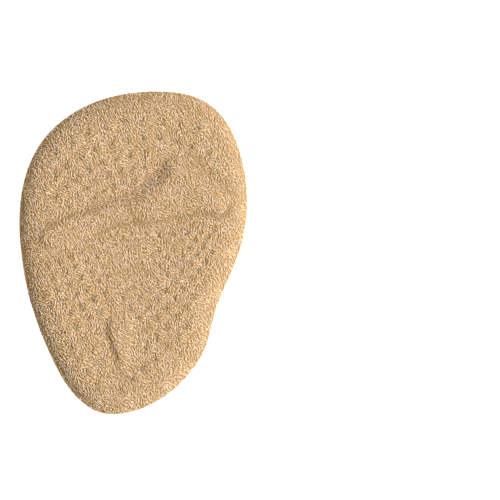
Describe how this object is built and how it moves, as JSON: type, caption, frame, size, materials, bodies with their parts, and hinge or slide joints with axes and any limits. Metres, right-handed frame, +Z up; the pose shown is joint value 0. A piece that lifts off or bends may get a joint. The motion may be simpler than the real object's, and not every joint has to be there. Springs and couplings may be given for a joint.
{
  "type": "metatarsal pad",
  "caption": "Left forefoot cushion pad: moulded foam under a pile fabric cover, with a raised metatarsal ridge, a small teardrop bump and massage dots.",
  "frame": {"origin": "middle of the flat underside, halfway along and halfway across the pad", "axes": "+Y towards the toe edge, +X towards the arch of the foot, +Z up through the thickness"},
  "size_m": [0.0706, 0.1, 0.0064],
  "materials": {
    "pile_fabric": "beige short-pile towelling, matt with a soft sheen",
    "latex_foam": "matt fine-celled latex foam"
  },
  "bodies": {
    "root": {"fabric_cover": "pile_fabric", "foam_core": "latex_foam"}
  },
  "joints": []
}
